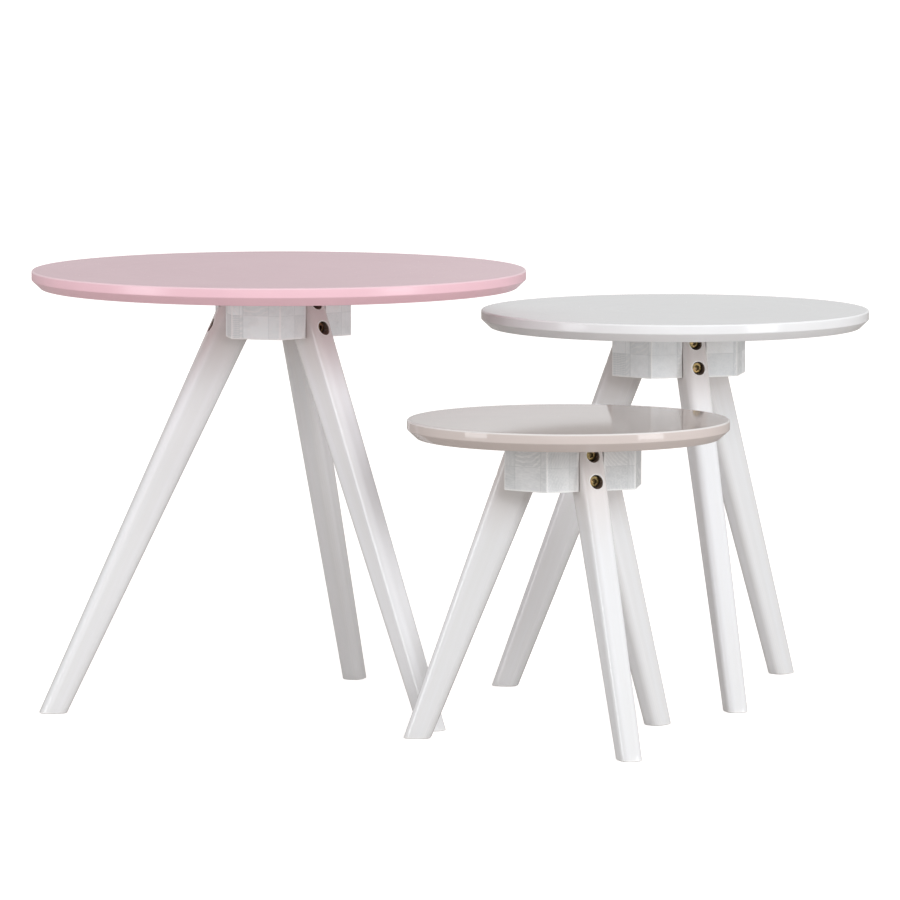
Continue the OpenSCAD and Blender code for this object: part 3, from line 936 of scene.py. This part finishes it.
def washed_wood(name, shift, tint):
    """Bricks of wood under a white wash, with rings, streaks, glue lines and painted highlights on the eased
    edges.
    """
    # the tint makes each table's hub a lighter or darker copy of the wash, as painted light and shade
    wash, wash_deep = (tuple(c * k for c, k in zip(colour, tint)) + (1,) for colour in (WASH, WASH_DEEP))
    material, tree, shader = new_material(name + "_washed_wood")
    t = table[name]
    where = own_place(tree, t["axis"], t["turn"])
    lowered = vector(tree, "ADD", where, (shift[0], shift[1], -t["hub_z"]))
    bricks = scaled(tree, lowered, *(1 / size for size in STRIP))
    cell = vector(tree, "FLOOR", bricks)
    inside = vector(tree, "FRACTION", bricks)
    drawn = add(tree, "ShaderNodeTexWhiteNoise", {"Vector": cell}, noise_dimensions="3D")
    tone = add(tree, "ShaderNodeSeparateColor", {0: drawn.outputs["Color"]}).outputs
    # year rings: shells round a centre that each brick draws within half of RING_CENTRES, along every axis,
    # of the hub's middle
    centre = vector(tree, "SUBTRACT", drawn.outputs["Color"], HALF)
    centre = vector(tree, "SCALE", centre, scale=RING_CENTRES)
    wobble = vector(tree, "SCALE", wander(tree, where, 70.0, 3.0), scale=RING_WOBBLE)
    shell = vector(tree, "SUBTRACT", where, centre)
    shell = vector(tree, "ADD", shell, wobble)
    shell = vector(tree, "ADD", shell, (0, 0, -t["hub_z"] - STRIP[2]))
    distance = measure(tree, "LENGTH", shell)
    rings = calc(tree, "SINE", calc(tree, "MULTIPLY", distance, 2 * math.pi / RING_PITCH))
    rings = remap(tree, rings, -0.2, 1.0, 0.0, 1.0, True)
    upright = use(tree, long_grain, {"Place": where, "Fineness": 700.0, "Waviness": 6.0 * MM})
    lay_down = {"Vector": where, "Axis": (1, 1, 0), "Angle": math.pi / 2}
    laid = add(tree, "ShaderNodeVectorRotate", lay_down).outputs[0]
    lying = use(tree, long_grain, {"Place": laid, "Fineness": 620.0, "Waviness": 4.0 * MM})
    stands = calc(tree, "GREATER_THAN", tone[1], 0.5)
    streak = mix(tree, stands, lying["Grain"], upright["Grain"])
    streak = remap(tree, streak, 0.38, 0.68)
    ringed = remap(tree, tone[2], 0.35, 0.6, 0.15, 0.85)
    grain = calc(tree, "ADD", calc(tree, "MULTIPLY", rings, ringed), calc(tree, "MULTIPLY", streak, 0.7))
    patchy = noise(tree, where, 55.0, 5.0, 0.65)
    grain = calc(tree, "MULTIPLY", grain, remap(tree, patchy, 0.3, 0.65, 0.25, 1.0))
    # a glue line lies where a coordinate inside its brick is close to a wall
    side = vector(tree, "ABSOLUTE", vector(tree, "SUBTRACT", inside, HALF))
    axes = add(tree, "ShaderNodeSeparateXYZ", {0: side}).outputs
    nearest = calc(tree, "MAXIMUM", calc(tree, "MAXIMUM", axes[0], axes[1]), axes[2])
    glue = remap(tree, nearest, GLUE_STARTS, GLUE_WHOLE)
    edge = use(tree, edge_wear, {"Place": where, "Width": 3.0 * MM, "Patchiness": 120.0})
    base = mix(tree, remap(tree, tone[0], 0.1, 0.9, 0.0, 0.75), wash, wash_deep)
    base = mix(tree, calc(tree, "MULTIPLY", grain, 0.7, clamp=True), base, WASH_PALE)
    base = mix(tree, remap(tree, patchy, 0.45, 0.72, 0.0, 0.5), base, wash_deep)
    base = mix(tree, calc(tree, "MULTIPLY", glue, 0.45), base, wash_deep)
    # painted highlight along the eased edges of the hub
    base = mix(tree, edge["Edge"], base, WASH_PALE)
    rough = remap(tree, grain, 0.0, 1.4, 0.62, 0.45)
    height = calc(tree, "SUBTRACT", grain, calc(tree, "MULTIPLY", glue, 1.2))
    wire(tree, shader, Base_Color=base, Roughness=rough, Normal=bump(tree, height, WOOD_RELIEF, 0.8))
    return material


BRICK_SHIFT = {"large": (4 * MM, 9 * MM), "medium": (12 * MM, 3 * MM), "small": (8 * MM, 15 * MM)}
# Painted light and shade: each hub's wash is lighter or darker for the light under its top, and the large one
# less pink
HUB_LIGHT_AND_SHADE = {"large": (1.09, 1.13, 1.13), "medium": (1.12, 1.12, 1.13), "small": (0.89, 0.885, 0.885)}
for name in TABLES:
    dress(hubs[name], washed_wood(name, BRICK_SHIFT[name], HUB_LIGHT_AND_SHADE[name]))
print("hubs dressed")

# %% [markdown]
# ## Yellow zinc
# The screws are steel with a thin yellow zinc coat. It is a metal that drifts between brass, olive and a
# trace of rose, with fine turning marks and dull patches where the driver has rubbed it. Little light
# reaches the socket and the gap round the head, so a probe for open sky paints both nearly black, as
# painted shade. Each table's zinc is also darkened as painted shade of heads deep in their bores.


# %% Screw metal
BRASS = (0.52, 0.40, 0.19, 1)
OLIVE = (0.32, 0.29, 0.15, 1)
BLUSH = (0.62, 0.42, 0.34, 1)
RUBBED = (0.70, 0.69, 0.66, 1)
# Painted shade in the socket and round the head
PAINTED_SOCKET_SHADE = (0.03, 0.025, 0.02, 1)
PAINTED_SHADE_REACH = 4.0 * MM
ZINC_RELIEF = 0.02 * MM


def yellow_zinc(name, tone):
    """Brass and olive metal with turning marks, rubbed edges and painted shade in the socket and round the
    head. The tone darkens the zinc as painted shade.
    """
    material, tree, shader = new_material(name + "_yellow_zinc")
    where = add(tree, "ShaderNodeTexCoord").outputs["Object"]
    drift = noise(tree, where, 260.0, 3.0, 0.6)
    base = mix(tree, remap(tree, drift, 0.35, 0.6), BRASS, OLIVE)
    base = mix(tree, remap(tree, noise(tree, where, 420.0), 0.58, 0.7, 0.0, 0.6), base, BLUSH)
    edge = use(tree, edge_wear, {"Place": where, "Width": 0.4 * MM, "Patchiness": 400.0})
    base = mix(tree, calc(tree, "MULTIPLY", edge["Worn"], 0.7), base, RUBBED)
    base = mix(tree, 1.0, base, tone + (1,), "MULTIPLY")
    # painted shade: the metal turns nearly black where little open sky is seen
    open_sky = add(tree, "ShaderNodeAmbientOcclusion", {"Distance": PAINTED_SHADE_REACH}, samples=8).outputs["AO"]
    base = mix(tree, remap(tree, open_sky, 0.15, 0.75, 0.9, 0.0), base, PAINTED_SOCKET_SHADE)
    fine = noise(tree, where, 2600.0, 3.0, 0.7)
    rough = calc(tree, "ADD", remap(tree, drift, 0.3, 0.7, 0.2, 0.42), calc(tree, "MULTIPLY", fine, 0.08))
    wire(tree, shader, Base_Color=base, Roughness=rough, Normal=bump(tree, fine, ZINC_RELIEF))
    shader.inputs["Metallic"].default_value = 1.0
    return material


# Painted shade of heads sitting deep in their bores: each table's zinc is darkened, most for the large table
ZINC_SHADE_TONE = {"large": (0.40, 0.26, 0.28), "medium": (0.62, 0.54, 0.45), "small": (0.62, 0.54, 0.45)}
zinc = {name: yellow_zinc(name, tone) for name, tone in ZINC_SHADE_TONE.items()}
for obj in screws:
    dress(obj, zinc[obj.name.split("_")[0]])
print("screws dressed")

# %% [markdown]
# ## Floor, light and camera
# A pale floor and a broad light from the front, about twenty degrees up and to the right, suit white
# furniture. It reaches under the tops at a slant, so the legs brighten quickly below them. Two low side
# boxes draw bright lines on the legs without glaring on the tops, and a weak front box opens the shade
# round the hubs. The world is white behind the tables, a dimmer grey in reflections, and has one bright
# card low behind the two smaller tops for their gloss to mirror.

# %% Floor
FLOOR_HALF = 40.0
FLOOR_GLOW = 0.8
FLOOR_DEEP = (0.54, 0.505, 0.475, 1)
FLOOR_PALE = (0.56, 0.525, 0.495, 1)
PURE_WHITE = (1, 1, 1, 1)


def make_floor():
    """Large square floor. It glows a little, like a lit acrylic sheet, so that it stays pale in the shade."""
    corners_xy = np.array([[-1, -1], [1, -1], [1, 1], [-1, 1]]) * FLOOR_HALF
    vertices = np.concatenate([corners_xy, np.zeros((4, 1))], 1)
    obj = make_object("studio_floor", vertices, [np.array([[0, 1, 2, 3]])], sharp_angle=30)
    material, tree, shader = new_material("pale_floor")
    where = add(tree, "ShaderNodeTexCoord").outputs["Object"]
    tint = mix(tree, noise(tree, where, 0.7), FLOOR_DEEP, FLOOR_PALE)
    seen = add(tree, "ShaderNodeLightPath").outputs["Is Camera Ray"]
    glow = calc(tree, "MULTIPLY", seen, FLOOR_GLOW)
    wire(tree, shader, Base_Color=tint, Emission_Strength=glow)
    shader.inputs["Emission Color"].default_value = PURE_WHITE
    shader.inputs["Roughness"].default_value = 0.9
    shader.inputs["Specular IOR Level"].default_value = 0.1
    dress(obj, material)


make_floor()

# %% World
HORIZON = 0.66
ZENITH = 0.56
CARD = 0.80
# The card's sides and top fade between these parts of a direction: x to the left, x to the right, and z
CARD_LEFT = (-0.02, 0.01)
CARD_RIGHT = (0.35, 0.25)
CARD_TOP = (0.35, 0.2)


def make_world():
    """White to the camera. For all else it is grey, with a bright card low behind the smaller tables."""
    world = bpy.data.worlds.new("studio_world")
    bpy.context.scene.world = world
    world.use_nodes = True
    tree = world.node_tree
    tree.nodes.clear()
    direction = add(tree, "ShaderNodeTexCoord").outputs["Generated"]
    way = add(tree, "ShaderNodeSeparateXYZ", {0: direction}).outputs
    level = remap(tree, way[2], 0.0, 0.7, HORIZON, ZENITH)
    card = calc(tree, "GREATER_THAN", way[1], 0.0)
    card = calc(tree, "MULTIPLY", card, remap(tree, way[0], *CARD_LEFT, smooth=True))
    card = calc(tree, "MULTIPLY", card, remap(tree, way[0], *CARD_RIGHT))
    card = calc(tree, "MULTIPLY", card, remap(tree, way[2], *CARD_TOP, smooth=True))
    level = calc(tree, "MULTIPLY_ADD", card, CARD - HORIZON, level)
    seen = add(tree, "ShaderNodeLightPath").outputs["Is Camera Ray"]
    grey = add(tree, "ShaderNodeBackground", {"Color": PURE_WHITE, "Strength": level}).outputs[0]
    white = add(tree, "ShaderNodeBackground", {"Color": PURE_WHITE, "Strength": 1.0}).outputs[0]
    both = add(tree, "ShaderNodeMixShader", {0: seen, 1: grey, 2: white}).outputs[0]
    add(tree, "ShaderNodeOutputWorld", {"Surface": both})


make_world()


# %% Lights
COOL = (0.95, 0.97, 1.0)


def aim_light(obj, place_at, aim):
    """Put a light at a place and turn it so that it looks at the aim point."""
    away = np.array(aim, float) - np.array(place_at, float)
    tilt = math.atan2(math.hypot(away[0], away[1]), -away[2])
    obj.location = place_at
    obj.rotation_euler = (tilt, 0, math.atan2(-away[0], away[1]))
    bpy.context.scene.collection.objects.link(obj)


def soft_box(name, place_at, aim, size, power):
    """Rectangular light, with its width and height in metres and its power in watts."""
    light = bpy.data.lights.new(name, "AREA")
    light.color = COOL
    light.shape = "RECTANGLE"
    light.size, light.size_y = size
    light.energy = power
    aim_light(bpy.data.objects.new(name, light), place_at, aim)


def broad_key(name, place_at, aim, wide, strength):
    """Distant light, as wide as an angle in degrees. Mirrors leave it out, so that no top glares."""
    light = bpy.data.lights.new(name, "SUN")
    light.color = COOL
    light.angle = math.radians(wide)
    light.energy = strength
    lamp = bpy.data.objects.new(name, light)
    lamp.visible_glossy = False
    aim_light(lamp, place_at, aim)


MIDDLE = (0.0, 0.0, 0.25)
broad_key("key", (0.9, -3.2, 1.60), MIDDLE, 24.0, 1.30)
soft_box("left_box", (-2.4, -1.2, 0.45), MIDDLE, (0.9, 0.8), 13.0)
soft_box("right_box", (2.2, -1.5, 0.45), MIDDLE, (0.9, 0.8), 15.0)
soft_box("front_box", (-0.8, -5.0, 0.5), MIDDLE, (1.8, 1.2), 5.0)

# %% Camera
CAMERA_PLACE = (-0.0040, -7.5321, 1.0187)
CAMERA_DOWN = 5.705
LENS = 300.26
SENSOR = 36.0
FAR = 100.0


def make_camera():
    """Long lens far away, looking along +Y and a little down, so that the tops are thin ovals."""
    data = bpy.data.cameras.new("camera")
    data.lens = LENS
    data.sensor_width = SENSOR
    data.clip_end = FAR
    obj = bpy.data.objects.new("camera", data)
    bpy.context.scene.collection.objects.link(obj)
    obj.location = CAMERA_PLACE
    obj.rotation_euler = (math.radians(90 - CAMERA_DOWN), 0, 0)
    bpy.context.scene.camera = obj


make_camera()
view = bpy.context.scene.view_settings
view.view_transform = "Standard"
view.look = "None"
view.exposure = 0.0
view.gamma = 1.0
